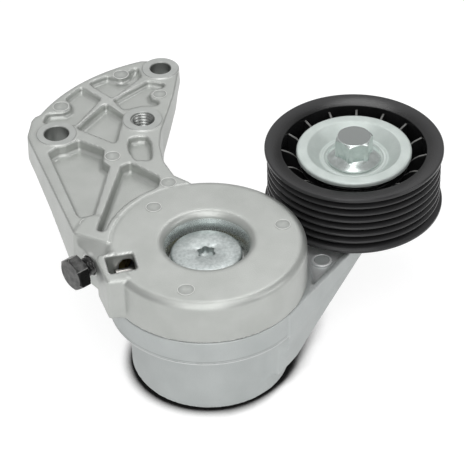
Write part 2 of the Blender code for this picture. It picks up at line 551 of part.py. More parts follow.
def make_bolts():
    """The flange bolt that clamps the bearing, and the hexagon bolt that limits the arm's travel."""
    top = BOLT_SEAT + 2.7 + PULLEY_BOLT_HEAD
    shank = PULLEY_BOLT_SHANK
    flange = PULLEY_BOLT_FLANGE
    foot = THREAD_END + GAP
    corner = PULLEY_BOLT_FLATS / math.sqrt(3)
    profile = [(0, foot), (shank - 1, foot), (shank, foot + 1), (shank, BOLT_SEAT), (flange - 0.3, BOLT_SEAT)]
    profile += [(flange, BOLT_SEAT + 0.4), (flange - 0.3, BOLT_SEAT + 0.9)]
    profile += [(corner, BOLT_SEAT + 2.7), (0, BOLT_SEAT + 2.7)]
    bolt = finish("pulley_bolt", revolve(profile, FINE_STEPS, (ARM_LENGTH, 0)), ZINC, ARM_FRAME)
    flats = [(ARM_LENGTH + x, y) for x, y in hexagon(PULLEY_BOLT_FLATS, 32.5)]
    head = finish("pulley_hex_tool", prism(flats, BOLT_SEAT + 1.0, top))
    chamfer = [(0, BOLT_SEAT), (flange, BOLT_SEAT), (flange, top - 2.4)]
    chamfer += [(PULLEY_BOLT_FLATS / 2 - 0.3, top), (0, top)]
    boolean(head, finish("pulley_chamfer_tool", revolve(chamfer, FINE_STEPS, (ARM_LENGTH, 0))), "INTERSECT")
    boolean(bolt, head, "UNION")

    seat, y, z = STOP_BOLT_POSITION
    outer = seat - STOP_BOLT_HEAD
    round_shank = [(y + u, z + v) for u, v in arc(0, 0, STOP_BOLT_SHANK, 0, 342, 20)]
    bolt = finish("stop_bolt", prism(round_shank, seat - 1, seat + STOP_BOLT_LENGTH, along_x), OXIDE, BOLT_FRAME)
    flats = [(y + u, z + v) for u, v in hexagon(STOP_BOLT_FLATS, 80)]
    boolean(bolt, finish("stop_hex_tool", prism(flats, outer, seat, along_x)), "UNION")


make_bracket()
make_arm()
make_pivot()
make_spring()
make_pulley()
make_bearing()
make_shield()
make_bolts()
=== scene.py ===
import math

import bmesh
import bpy
import numpy as np
from mathutils import Matrix


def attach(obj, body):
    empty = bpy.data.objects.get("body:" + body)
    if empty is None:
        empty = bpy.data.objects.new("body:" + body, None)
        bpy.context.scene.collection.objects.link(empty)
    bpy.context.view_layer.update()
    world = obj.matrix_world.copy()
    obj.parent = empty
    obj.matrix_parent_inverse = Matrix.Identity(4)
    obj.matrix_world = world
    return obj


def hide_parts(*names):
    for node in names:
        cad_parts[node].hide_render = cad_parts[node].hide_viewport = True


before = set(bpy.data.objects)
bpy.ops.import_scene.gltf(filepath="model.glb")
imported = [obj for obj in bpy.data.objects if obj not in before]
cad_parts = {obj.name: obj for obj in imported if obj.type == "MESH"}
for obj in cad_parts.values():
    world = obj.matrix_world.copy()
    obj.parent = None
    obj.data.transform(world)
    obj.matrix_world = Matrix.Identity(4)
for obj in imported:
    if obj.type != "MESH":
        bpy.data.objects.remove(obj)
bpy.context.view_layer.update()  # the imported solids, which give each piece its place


# Swinging arm: a cup for the spring with a hollow beam that ends in the pulley's post. It is die cast in
# aluminium in one piece and tumbled, and only the bearing's seat and the cup's rim are machined.

MM = 0.001
ARM_LENGTH = 80.7
CUP_PROFILE = [(0, 0), (31.0, 0), (31.9, 0.4), (32.3, 1.3), (32.3, 30.5), (32.7, 30.9), (39.9, 30.9), (40.4, 31.4)]
CUP_PROFILE += [(40.4, 41.8), (40.0, 42.2), (28.4, 42.2), (28.4, 4.0), (15.0, 4.0), (15.0, 14.0), (10.4, 14.0)]
CUP_PROFILE += [(10.4, 3.4), (0, 3.4)]
POST_PROFILE = [(0, 29.5), (13.5, 29.5), (13.5, 37.4), (11.5, 39.4), (11.5, 49.2), (8.2, 49.2), (8.2, 61.2), (0, 61.2)]


def outline_distance(corners, x, y):
    """Signed distance in a plane to a closed outline, below zero inside: the least distance to any side, with the
    sign from whether a ray along +x crosses an odd number of sides."""
    start = np.asarray(corners, float)
    nearest = np.full(np.broadcast(x, y).shape, 1e9)
    inside = np.zeros(nearest.shape, bool)
    for (x0, y0), (x1, y1) in zip(start, np.roll(start, -1, 0)):
        along_x, along_y = x1 - x0, y1 - y0
        px, py = x - x0, y - y0
        share = np.clip((px * along_x + py * along_y) / max(along_x**2 + along_y**2, 1e-12), 0, 1)
        nearest = np.minimum(nearest, (px - share * along_x) ** 2 + (py - share * along_y) ** 2)
        if along_y:
            inside ^= ((y0 > y) != (y1 > y)) & (px < along_x * py / along_y)
    return np.where(inside, -1, 1) * np.sqrt(nearest)


def rounded(corners, radius, steps=5):
    """An outline with each corner swapped for a parabola that starts and ends where a circle of that radius would
    touch the two sides, or just short of the middle of the shorter side."""
    corner = np.asarray(corners, float)
    back, ahead = np.roll(corner, 1, 0) - corner, np.roll(corner, -1, 0) - corner
    back_length, ahead_length = np.linalg.norm(back, axis=1), np.linalg.norm(ahead, axis=1)
    back, ahead = back / back_length[:, None], ahead / ahead_length[:, None]
    half = np.arccos(np.clip((back * ahead).sum(1), -1, 1)) / 2
    reach = np.minimum(radius / np.tan(half), 0.48 * np.minimum(back_length, ahead_length))[:, None]
    share = np.linspace(0, 1, steps)[None, :, None]
    first, last = corner + back * reach, corner + ahead * reach
    curve = (1 - share) ** 2 * first[:, None] + 2 * share * (1 - share) * corner[:, None] + share**2 * last[:, None]
    return curve.reshape(-1, 2)


def arc(x, y, radius, start, end, count):
    """Points evenly spaced by angle, in degrees, on a circle round (x, y)."""
    angle = np.radians(np.linspace(start, end, count))
    return np.stack([x + radius * np.cos(angle), y + radius * np.sin(angle)], 1)


def filleted(a, b, width):
    """Two shapes as one: the lesser distance, less a parabola that fills the corner to that width on each side."""
    return np.minimum(a, b) - np.maximum(width - np.abs(a - b), 0) ** 2 / (4 * width)


def trimmed(a, b, width):
    """What two shapes share: the greater distance, plus a parabola that rounds the edge to that width."""
    return np.maximum(a, b) + np.maximum(width - np.abs(a - b), 0) ** 2 / (4 * width)


def put_in_scene(name, points, faces, sharp=None, shade=None):
    """A smooth-shaded mesh object from points in millimetres and quads, with doubled points merged and edges sharper
    than an angle in degrees left hard. shade is an optional value for each point."""
    mesh = bpy.data.meshes.new(name)
    mesh.from_pydata((np.asarray(points, float) * MM).tolist(), [], np.asarray(faces).tolist())
    if shade is not None:
        mesh.attributes.new("shade", "FLOAT", "POINT").data.foreach_set("value", np.asarray(shade, np.float32).ravel())
    work = bmesh.new()
    work.from_mesh(mesh)
    bmesh.ops.remove_doubles(work, verts=work.verts, dist=1e-7)
    bmesh.ops.dissolve_degenerate(work, edges=work.edges, dist=1e-8)
    work.to_mesh(mesh)
    work.free()
    mesh.polygons.foreach_set("use_smooth", np.ones(len(mesh.polygons), bool))
    if sharp:
        mesh.set_sharp_from_angle(angle=math.radians(sharp))
    made = bpy.data.objects.new(name, mesh)
    bpy.context.scene.collection.objects.link(made)
    return made


def cast_skin(name, distance, low, high, cell):
    """The closed skin where distance(x, y, z) is zero. Each cell of a grid that the skin passes through gets the mean
    of its edges' crossings, which then slides down the field's slope onto the skin. The four cells round each crossed
    edge make a face. The value kept for each point is how hollow the skin is there, from the field 2 mm above it, less
    how sharply it turns over an edge, from the field 1.2 mm below it."""
    counts = [int(math.ceil((b - a) / cell)) + 1 for a, b in zip(low, high)]
    axes = [a + cell * np.arange(n) for a, n in zip(low, counts)]
    value = np.broadcast_to(distance(*np.meshgrid(*axes, indexing="ij", sparse=True)), counts)
    cells = tuple(n - 1 for n in counts)
    total, number = np.zeros(cells + (3,)), np.zeros(cells)
    loops = []
    for axis in range(3):
        across, up = (axis + 1) % 3, (axis + 2) % 3
        first, second = np.moveaxis(value, axis, 0)[:-1], np.moveaxis(value, axis, 0)[1:]
        crossed = (first < 0) != (second < 0)
        share = np.where(crossed, first / np.where(crossed, first - second, 1), 0)
        crossed, share = np.moveaxis(crossed, 0, axis), np.moveaxis(share, 0, axis)
        for u in (0, 1):
            for v in (0, 1):
                part = [slice(None)] * 3
                part[across], part[up] = slice(u, u + cells[across]), slice(v, v + cells[up])
                hit = crossed[tuple(part)]
                number += hit
                total[..., axis] += share[tuple(part)]
                total[..., across] += u * hit
                total[..., up] += v * hit
        loops.append((axis, across, up, crossed))
    active = number > 0
    index = np.full(cells, -1)
    index[active] = np.arange(active.sum())
    points = np.asarray(low) + cell * (np.argwhere(active) + total[active] / number[active][:, None])
    faces = []
    for axis, across, up, crossed in loops:
        edge = np.argwhere(crossed)
        quad = []
        for u, v in ((1, 1), (0, 1), (0, 0), (1, 0)):
            place = edge.copy()
            place[:, across] -= u
            place[:, up] -= v
            quad.append(index[tuple(place.T)])
        quad = np.stack(quad, 1)
        faces.append(np.where((value[tuple(edge.T)] < 0)[:, None], quad, quad[:, ::-1]))

    def slope(at):
        here = distance(*at.T)
        lean = np.stack([distance(*(at + 0.05 * step).T) - here for step in np.eye(3)], 1) / 0.05
        return here, lean / np.maximum((lean**2).sum(1), 0.05)[:, None]

    for _ in range(2):
        here, lean = slope(points)
        points -= np.clip(here[:, None] * lean, -0.6 * cell, 0.6 * cell)
    lean = slope(points)[1]
    lean /= np.linalg.norm(lean, axis=1)[:, None]
    hollow = np.clip(1 - distance(*(points + 2.0 * lean).T) / 2.0, 0, 1)
    edge = np.clip(1 + distance(*(points - 1.2 * lean).T) / 1.2, 0, 1)
    return put_in_scene(name, points, np.concatenate(faces), shade=hollow - edge)


def beam_outline(reach):
    """The beam's plan: its straight sides touch a circle of that radius round the pivot and one of 14.5 mm round the
    pulley."""
    lean = math.degrees(math.acos((reach - 14.5) / ARM_LENGTH))
    root = arc(0, 0, reach, lean, lean + 6, 4)
    root = np.concatenate([root, [(6, 0.78 * reach), (2, 0.6 * reach)]])
    return [*(root[::-1] * (1, -1)), *arc(ARM_LENGTH, 0, 14.5, -lean, lean, 24), *root]


BEAM_TOP_PLAN, BEAM_FOOT_PLAN = beam_outline(40.8), beam_outline(36.5)
LUG_PLAN = [*arc(0, 0, 28.8, 80, 88, 3), *arc(0, 0, 32.8, 88, 80, 3)]


def arm_distance(x, y, z):
    """The cup and post are turned profiles. The beam runs from its foot's plan to its top's plan, trimmed to its side
    view, with a shallow tray on top and a hollow underneath. A wide fillet runs it into the cup."""
    from_pivot, from_pulley = np.hypot(x, y), np.hypot(x - ARM_LENGTH, y)
    top = np.interp(x, (22, 54), (42.2, 38.4))
    under = np.interp(x, (12, 19, 23, 61, 66, 74), (11.1, 10.6, 11.4, 25.9, 28.0, 31.0))
    foot = outline_distance(BEAM_FOOT_PLAN, x, y)
    rise = np.clip((z - under) / np.maximum(30.9 - under, 1.0), 0, 1)
    plan = foot + (outline_distance(BEAM_TOP_PLAN, x, y) - foot) * rise
    beam = trimmed(trimmed(plan, z - top, 0.9), under - z, 0.9)
    step = (x - 37.0) * 0.89 - (y + 22.0) * 0.456
    floor = 36.6 + 1.3 / (1 + np.exp(5 * np.clip(step, -9, 9)))
    tray = trimmed(trimmed(plan + 2.2, 42.4 - from_pivot, 1.5), 14.0 - from_pulley, 1.5)
    beam = trimmed(beam, -trimmed(tray + 0.15 * (40 - z), floor - z, 1.2), 0.6)
    hollow = trimmed(trimmed(plan + 4.2, 40.8 - from_pivot, 2.0), 14.5 - from_pulley, 2.0)
    beam = trimmed(beam, -trimmed(hollow, z - 31.0, 1.5), 0.7)
    barrel = trimmed(from_pivot - 32.3, np.abs(z - 16.0) - 14.0, 0.5)
    beam = trimmed(filleted(beam, barrel, 9.0), 29.9 - from_pivot, 0.3)
    from_cup = np.hypot(x - 0.5, y + 0.4)  # the cup's outside sits a little off the pivot
    cup = outline_distance(CUP_PROFILE, np.where((z < 30.9) & (from_pivot > 29.5), from_cup, from_pivot), z)
    body = filleted(cup, beam, 0.8)
    body = filleted(body, outline_distance(POST_PROFILE, from_pulley, z), 1.2)
    body = trimmed(body, -np.maximum(from_pulley - 5.2, 36.0 - z), 0.4)
    lug = np.maximum(outline_distance(LUG_PLAN, x, y), np.abs(z - 46.6) - 7.4)
    return np.minimum(body, lug)


arm = cast_skin("arm_casting", arm_distance, (-42, -42, -1.2), (96.8, 42, 62.6), 0.85)

# The tray's floor is painted paler than the rest, a painted light where the pulley above shades it,
# so its shade goes towards the colour of the edges.
count = len(arm.data.vertices)
place, shade = np.zeros(3 * count), np.zeros(count)
arm_shade = arm.data.attributes["shade"].data
arm.data.vertices.foreach_get("co", place)
arm_shade.foreach_get("value", shade)
x, y, z = place.reshape(-1, 3).T / MM
tray = (outline_distance(BEAM_TOP_PLAN, x, y) < -3.0) & (np.hypot(x, y) > 43.0) & (np.abs(z - 37.2) < 1.2)
arm_shade.foreach_set("value", (shade - 0.75 * tray).astype(np.float32))

# The grain that every bare metal and plastic face here shares: fine pits or plating crystals, and broad soft patches.
grain = bpy.data.node_groups.new("surface_grain", "ShaderNodeTree")
for socket, value in (("Grain size", 0.5), ("Patch size", 12.0)):
    grain.interface.new_socket(socket, in_out="INPUT", socket_type="NodeSocketFloat").default_value = value
for socket in ("Grain", "Patches"):
    grain.interface.new_socket(socket, in_out="OUTPUT", socket_type="NodeSocketFloat")
grain_in, grain_out = grain.nodes.new("NodeGroupInput"), grain.nodes.new("NodeGroupOutput")
grain_place = grain.nodes.new("ShaderNodeTexCoord")
for size, output, detail in (("Grain size", "Grain", 3.0), ("Patch size", "Patches", 4.0)):
    scale = grain.nodes.new("ShaderNodeMath")
    scale.operation = "DIVIDE"
    scale.inputs[0].default_value = 1 / MM
    noise = grain.nodes.new("ShaderNodeTexNoise")
    noise.inputs["Detail"].default_value = detail
    grain.links.new(grain_in.outputs[size], scale.inputs[1])
    grain.links.new(grain_place.outputs["Object"], noise.inputs["Vector"])
    grain.links.new(scale.outputs["Value"], noise.inputs["Scale"])
    grain.links.new(noise.outputs["Fac"], grain_out.inputs[output])


def surface(name, dark, light, rough, metallic, grain_size, patch_size, bump):
    """A finish whose colour runs from dark to light with the broad patches. Its roughness runs between two values with
    the fine grain, which is also its bump."""
    made = bpy.data.materials.new(name)
    made.use_nodes = True
    tree = made.node_tree
    shader = tree.nodes["Principled BSDF"]
    shader.inputs["Metallic"].default_value = metallic
    texture = tree.nodes.new("ShaderNodeGroup")
    texture.node_tree = grain
    texture.inputs["Grain size"].default_value = grain_size
    texture.inputs["Patch size"].default_value = patch_size
    colour = tree.nodes.new("ShaderNodeValToRGB")
    colour.color_ramp.elements[0].position, colour.color_ramp.elements[1].position = 0.3, 0.7
    colour.color_ramp.elements[0].color, colour.color_ramp.elements[1].color = (*dark, 1), (*light, 1)
    tree.links.new(texture.outputs["Patches"], colour.inputs["Fac"])
    tree.links.new(colour.outputs["Color"], shader.inputs["Base Color"])
    spread = tree.nodes.new("ShaderNodeMapRange")
    spread.inputs["From Min"].default_value, spread.inputs["From Max"].default_value = 0.3, 0.7
    spread.inputs["To Min"].default_value, spread.inputs["To Max"].default_value = rough
    tree.links.new(texture.outputs["Grain"], spread.inputs["Value"])
    tree.links.new(spread.outputs["Result"], shader.inputs["Roughness"])
    height = tree.nodes.new("ShaderNodeBump")
    height.inputs["Strength"].default_value = bump
    height.inputs["Distance"].default_value = 0.2 * MM
    tree.links.new(texture.outputs["Grain"], height.inputs["Height"])
    tree.links.new(height.outputs["Normal"], shader.inputs["Normal"])
    return made


def shaded_by_form(material, hollow, edge):
    """Paints shade into a finish, darkening it towards hollow where a point's shade is above zero, and paints
    highlight, lightening it towards edge where it is below. cast_skin works the shade out from the form, and other
    pieces state it."""
    tree = material.node_tree
    shader = tree.nodes["Principled BSDF"]
    value = tree.nodes.new("ShaderNodeAttribute")
    value.attribute_name = "shade"
    last = shader.inputs["Base Color"].links[0].from_socket
    for low, high, colour in ((0.12, 0.75, hollow), (-0.2, -0.8, edge)):
        share = tree.nodes.new("ShaderNodeMapRange")
        share.inputs["From Min"].default_value, share.inputs["From Max"].default_value = low, high
        tree.links.new(value.outputs["Fac"], share.inputs["Value"])
        mixed = tree.nodes.new("ShaderNodeMix")
        mixed.data_type = "RGBA"
        tree.links.new(share.outputs["Result"], mixed.inputs["Factor"])
        tree.links.new(last, mixed.inputs["A"])
        mixed.inputs["B"].default_value = (*colour, 1)
        last = mixed.outputs["Result"]
    tree.links.new(last, shader.inputs["Base Color"])


arm_cast = surface("arm_aluminium_skin", (0.45, 0.475, 0.47), (0.51, 0.535, 0.53), (0.40, 0.52), 0.55, 0.5, 16.0, 0.35)
# Painted shade darkens the casting's hollows and a painted highlight lightens its sharp edges.
shaded_by_form(arm_cast, (0.42, 0.44, 0.435), (0.70, 0.71, 0.71))
arm.data.materials.append(arm_cast)
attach(arm, "arm")
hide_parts("tensioner_arm")


def ringed(centre, radius, height, turn):
    """Points in rows round the upright line through centre. Each row has a height, and a radius at each angle."""
    radius = np.broadcast_to(radius, (len(height), len(turn)))
    level = np.repeat(np.asarray(height)[:, None], len(turn), 1)
    points = np.stack([centre[0] + radius * np.cos(turn), centre[1] + radius * np.sin(turn), level], -1)
    return points.reshape(-1, 3)


def grid_faces(rows, columns, flip=False):
    """Quads of a grid of rows by columns whose columns close on themselves."""
    row, column = np.meshgrid(np.arange(rows - 1), np.arange(columns), indexing="ij")
    beside = (column + 1) % columns
    quad = [row * columns + column, row * columns + beside, (row + 1) * columns + beside, (row + 1) * columns + column]
    quad = np.stack(quad, -1).reshape(-1, 4)
    return quad[:, ::-1] if flip else quad


def full_turn(steps):
    """Evenly spaced angles once round, without the last."""
    return np.linspace(0, 2 * np.pi, steps, endpoint=False)


def turned(profile, centre=(0.0, 0.0), steps=96):
    """Points and quads of a closed (radius, height) profile turned round the upright line through centre. The profile
    runs anticlockwise in that plane, up the outside and down the inside, so that the faces point out."""
    radius, height = np.asarray([*profile, profile[0]], float).T
    return ringed(centre, radius[:, None], height, full_turn(steps)), grid_faces(len(radius), steps)


# The cup's rim has a band round it with a cut line above its lip, and its edges are crisper than the casting's.
BAND_STEPS = 160
BAND_PROFILE = [(38.9, 30.75), (40.0, 30.75), (40.45, 31.1), (40.45, 31.45), (40.4, 31.6), (39.8, 31.7), (39.8, 32.3)]
BAND_PROFILE += [(40.42, 32.45), (40.45, 32.7), (40.45, 41.85), (40.1, 42.2), (38.9, 42.2)]
# Painted shade darkens the cut line and the lip's underside, and a painted highlight lightens the lip's edge.
band_shade = np.repeat([0.9, 0.9, -0.6, -0.6, 0.9, 0.9, 0.9, 0.9, 0, 0, 0, 0, 0.9], BAND_STEPS)
band = put_in_scene("cup_band", *turned(BAND_PROFILE, steps=BAND_STEPS), sharp=30, shade=band_shade)
band_cast = surface("cup_band_skin", (0.45, 0.475, 0.47), (0.51, 0.535, 0.53), (0.40, 0.52), 0.55, 0.5, 16.0, 0.35)
shaded_by_form(band_cast, (0.10, 0.105, 0.10), (0.76, 0.77, 0.77))
band.data.materials.append(band_cast)
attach(band, "arm")

# An ejector pin has left a round boss on the tray's floor.
BOSS_STEPS = 48
BOSS_PROFILE = [(0, 35.2), (4.3, 35.2), (4.3, 37.5), (4.0, 37.75), (3.3, 37.75), (3.1, 37.45), (2.9, 37.4), (0, 37.4)]
# Its rim carries a painted highlight, with a ring of painted shade just inside it.
boss_shade = np.repeat([0, 0, -0.5, -0.9, -0.9, 0.7, 0, 0, 0], BOSS_STEPS)
boss = put_in_scene("tray_boss", *turned(BOSS_PROFILE, (46.2, -18.2), BOSS_STEPS), sharp=30, shade=boss_shade)
boss.data.materials.append(band_cast)
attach(boss, "arm")


# Spring seats and damper ring: the black nylon seats clip under and over the spring. The ring is moulded from an amber
# bearing polymer and pressed between the cup's rim and the bracket to damp the arm.

polymer = surface("amber_polymer_skin", (0.28, 0.23, 0.09), (0.40, 0.33, 0.14), (0.4, 0.6), 0.0, 0.4, 5.0, 0.15)
seat_nylon = surface("spring_seat_nylon", (0.010, 0.010, 0.010), (0.018, 0.018, 0.018), (0.4, 0.6), 0.0, 0.4, 5.0, 0.15)
for node, look in (("lower_spring_seat", seat_nylon), ("upper_spring_seat", seat_nylon), ("damper_ring", polymer)):
    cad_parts[node].data.materials.clear()
    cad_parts[node].data.materials.append(look)


# Torsion spring: five coils of oil-tempered round wire. Its lower end turns in the cup, and its upper end bends out
# into the bracket's window, where its cut end shows.

WIRE = 2.5  # radius of the wire
COIL = 24.6  # radius of the coils at the wire's middle
TURNS = 4.75
BEND = 5.0  # radius of the bend into the tang
TANG = math.radians(157.0)  # direction of the tang
TANG_END = 37.7  # how far from the pivot the tang is cut off
LOW, HIGH = 8.8, 51.6  # heights of the coil's two ends


def tube(name, path, radius, sides):
    """A round wire: circles of that radius carried along a path, square to its direction, with a small chamfer and a
    flat disc at each end."""
    heading = np.gradient(path, axis=0)
    heading /= np.linalg.norm(heading, axis=1)[:, None]
    across = np.cross(heading, (0, 0, 1))
    across /= np.linalg.norm(across, axis=1)[:, None]
    upright = np.cross(across, heading)
    last = len(path) - 1
    rows = np.concatenate([[0, 0], np.arange(last + 1), [last, last]])
    size = np.concatenate([[0, 0.85], np.ones(last + 1), [0.85, 0]]) * radius
    shift = np.concatenate([[-0.3, -0.3], np.zeros(last + 1), [0.3, 0.3]])
    turn = full_turn(sides)
    ring = across[rows][:, None] * np.cos(turn)[:, None] + upright[rows][:, None] * np.sin(turn)[:, None]
    points = (path[rows] + heading[rows] * shift[:, None])[:, None] + ring * size[:, None, None]
    return put_in_scene(name, points.reshape(-1, 3), grid_faces(len(rows), sides, flip=True), sharp=40)


end = TANG - math.asin(BEND / (COIL + BEND))
share = np.linspace(0, 1, 230)
angle = end - 2 * np.pi * TURNS * (1 - share)
coil = np.stack([COIL * np.cos(angle), COIL * np.sin(angle), LOW + (HIGH - LOW) * share], 1)
out, forward = np.array([math.cos(end), math.sin(end), 0]), np.array([-math.sin(end), math.cos(end), 0])
sweep = np.linspace(0, np.pi / 2 - (TANG - end), 9)[1:, None]
bend = coil[-1] + out * BEND * (1 - np.cos(sweep)) + forward * BEND * np.sin(sweep)
heading = np.array([math.cos(TANG), math.sin(TANG), 0])
reach = np.linspace(0, TANG_END - math.hypot(*bend[-1][:2]), 9)[1:, None]
path = np.concatenate([coil, bend, bend[-1] + heading * reach])
rise = np.clip((np.hypot(path[:, 0], path[:, 1]) - 27.0) / 5.0, 0, 1)
path[:, 2] += 1.9 * rise**2 * (3 - 2 * rise)
spring = tube("torsion_spring_wire", path, WIRE, 20)
wire = surface("spring_wire_skin", (0.30, 0.29, 0.28), (0.50, 0.49, 0.47), (0.28, 0.42), 1.0, 0.5, 4.0, 0.12)
spring.data.materials.append(wire)
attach(spring, "bracket")
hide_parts("torsion_spring")


# Bracket: the spring's cap, the pivot's hub and a ribbed plate that bolts to the engine, die cast in aluminium in one
# piece and tumbled. The holes are drilled and their pads are spot faced.

TOP = 61.6
BOTTOM = 42.5
CAP_PROFILE = [(37.0, BOTTOM), (40.2, BOTTOM), (40.6, BOTTOM + 0.4), *arc(37.4, TOP - 3.2, 3.2, 0, 90, 9)]
CAP_PROFILE += [(12.6, TOP), (12.6, 16.0), (20.0, 16.0), (20.0, 56.4), (37.0, 56.4)]
RECESS = (0.8, 0.2, 17.2)  # the pin head's recess is bored a little off the pivot
PLATE_PLAN = [*arc(63.1, 106.7, 8.3, -48, 85, 14), *arc(35.0, 47.0, 75.2, 70, 115.5, 22), (-0.3, 115.0)]
PLATE_PLAN += [(-3.0, 113.6), (-5.4, 111.2), *arc(-0.8, 98.3, 12.5, 128, 158, 8), (-36.7, 39.5), (-30.4, 25.3)]
PLATE_PLAN += [(-5, 18), (12, 24), (20.3, 34.4), (18.4, 42.4), (21.4, 52.7), (27.6, 63.2), (34.6, 70.6)]
PLATE_PLAN += [(46.0, 79.8), (55.8, 88.0)]
POCKETS = {  # depth of each pocket and its corners
    "left": (4.8, [(-11.3, 90.2), (-6, 90.9), (-2.5, 89.2), (3.8, 88.9), (7.8, 76.3), (2.1, 69.7), (2.3, 65.4)]
        + [(-22.9, 43.4), (-28.9, 46.3)]),
    "cap": (4.8, [(5.8, 62.2), (10.3, 61.7), (13.0, 46.2), (11.6, 43.4), *arc(0, 0, 41.4, 79, 130, 9), (-28.6, 34.6)]),
    "middle": (3.6, [(8.2, 96.4), (29.1, 102.6), (29.2, 89.9), (15.5, 77.4), (13.7, 77.0)]),
    "outer": (2.6, [(-0.5, 109.2), (5.5, 113.0), (8.3, 111.2), (11.2, 108.9), (15.2, 109.2), (17.4, 112.6)]
        + [(18.0, 116.8), (28.6, 119.4), (29.7, 106.4), (9.5, 98.0)]),
    "top": (2.6, [(32.6, 119.6), (42.2, 118.4), (43.6, 115.6), (45.5, 112.2), (49.6, 112.0), (51.9, 114.6)]
        + [(54.7, 115.0), (56.0, 113.5), (53.2, 107.8), (33.4, 103.1)]),
    "tip": (2.6, [(32.7, 102.2), (53.0, 103.2), (57.6, 96.6), (54.8, 94.6), (51.5, 96.4), (47.6, 95.2), (45.9, 91.6)]
        + [(47.2, 88.2), (45.0, 85.6), (39.5, 90.4), (31.8, 93.2)]),
    "right": (3.4, [(12.8, 61.6), (14.4, 67.5), (17.0, 72.0), (20.6, 75.2), (24.5, 74.0), (27.0, 71.2), (25.8, 67.0)]
        + [(22.2, 61.8), (17.8, 56.8)]),
}
BOLT_BOSS = rounded([(-36.3, 39.6), (-37.5, 36), (-38.0, 20.5), (-25, 16), (-15, 32), (-25, 45)], 1.0, 3)
WINDOW_BOSS = [(-38, 22), (-40.4, 19.8), (-45.0, 8), (-45.5, 6.4), (-44.9, 5.3), (-40.6, 2.6), (-39.6, 2.5)]
WINDOW_BOSS = rounded(WINDOW_BOSS + [(-30, 4), (-28, 18)], 0.8, 4)
WINDOW = rounded([(-36.5, 19.2), (-26.4, 13.9), (-31.1, 4.7), (-41.6, 9.4)], 1.3, 4)
HOLES = [(-0.8, 98.3, 5.25, 8.75), (63.1, 106.7, 4.5, 8.3), (33.1, 81.9, 4.95, 8.75)]  # x, y, hole, pad


def bracket_distance(x, y, z):
    """The cap and hub are a turned profile. The plate is its plan, wider towards the bottom by the mould's draft, with
    drafted pockets cut from the top. The bosses are plans of their own, and the bolt boss slopes from the plate's end
    down to its front. The holes, the window, the slot for the spring's tang and the arch are cut last."""
    from_pivot = np.hypot(x, y)
    plan = outline_distance(PLATE_PLAN, x, y) + 0.1
    left_edge = np.clip((x + 12.4) * -0.93 + (y - 102.9) * 0.36 + 6.0, 0, 4) / 4
    under = np.interp(y, (46, 57, 95), (BOTTOM, BOTTOM + 2.5, 54.0))
    under = under - left_edge * np.interp(y, (57, 72, 95), (0, 0.6, 3.6))
    draft = 0.05 * np.clip((112 - y) / 12, 0, 1) * (TOP - z)
    plate = trimmed(trimmed(plan - draft, z - TOP, 0.8), under - z, 1.2)
    front = np.maximum(x + 38.0, 0.0)
    slope = 57.9 + 3.7 * (front / np.maximum(front + np.maximum(plan, 0), 1e-6)) ** 1.6
    bolt_boss = trimmed(outline_distance(BOLT_BOSS, x, y), 0.8 * (z - slope), 0.6)
    plate = filleted(plate, np.maximum(bolt_boss, BOTTOM - z), 1.0)
    for depth, corners in POCKETS.values():
        wall = outline_distance(rounded(corners, 2.0, 4), x, y) + 0.15 * (TOP - z)
        plate = trimmed(plate, -trimmed(wall, TOP - depth - z, 1.5), 0.5)
    plate = trimmed(plate, 38.8 - from_pivot, 0.2)
    for hole_x, hole_y, hole, pad in HOLES:
        away = np.hypot(x - hole_x, y - hole_y)
        plate = filleted(plate, trimmed(away - pad + 0.3, np.abs(z - 57.1) - 4.6, 0.4), 0.5)
        plate = np.maximum(plate, hole + 0.4 - away)
    body = filleted(outline_distance(CAP_PROFILE, from_pivot, z), plate, 0.7)
    recess = np.hypot(x - RECESS[0], y - RECESS[1]) - RECESS[2]
    body = trimmed(body, -np.maximum(recess, 49.5 - z), 3.6)
    full_height = np.abs(z - (TOP + BOTTOM) / 2) - (TOP - BOTTOM) / 2
    window_boss = trimmed(outline_distance(WINDOW_BOSS, x, y), full_height, 1.0)
    window = outline_distance(WINDOW, x, y)
    walls = trimmed(window - 2.0, np.abs(z - 52.6) - 4.4, 0.4)
    outside = 37.2 - from_pivot
    body = filleted(body, trimmed(window_boss, outside, 0.2), 1.2)
    body = np.minimum(body, np.maximum(walls, -outside - 1.0))
    body = trimmed(body, -trimmed(window, 48.9 - z, 0.6), 0.5)
    along, beside = x * -0.9205 + y * 0.3907, x * 0.3907 + y * 0.9205
    tang_slot = np.maximum(np.maximum(np.abs(beside) - 2.9, np.abs(z - 52.6) - 3.6), np.abs(along - 28) - 7)
    body = np.maximum(body, -tang_slot)
    through, across = (x + 28.7) * 0.465 + (y - 15.1) * 0.885, (x + 28.7) * 0.885 - (y - 15.1) * 0.465
    arch = np.hypot(across, np.maximum(z - 55.2, 0)) - 3.3
    arch = np.maximum(arch, np.maximum(np.abs(through + 0.2) - 3.2, 50.0 - z))
    body = trimmed(body, -arch, 0.5)
    bolt_hole = np.maximum(np.hypot(y - 28.1, z - 52.5) - 4.15, np.abs(x + 28) - 14)
    return trimmed(body, -bolt_hole, 0.3)


bracket = cast_skin("bracket_casting", bracket_distance, (-47.2, -42, 14.8), (72.8, 123.4, 63.2), 0.75)
cast = surface(
    "bracket_aluminium_skin", (0.44, 0.455, 0.435), (0.50, 0.515, 0.495), (0.32, 0.44), 0.72, 0.5, 14.0, 0.35
)
# Painted shade darkens the casting's hollows and a painted highlight lightens its sharp edges.
shaded_by_form(cast, (0.26, 0.27, 0.26), (0.84, 0.85, 0.83))
bracket.data.materials.append(cast)
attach(bracket, "bracket")
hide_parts("mounting_bracket")


# Faced pads, bored recess and ejector marks: a cutter has spot faced the pads round the three holes and bored the
# recess of the pin's head, so their rings are crisp. The die's pins have left round marks on the ribs and cap, each
# with a lip of flash.

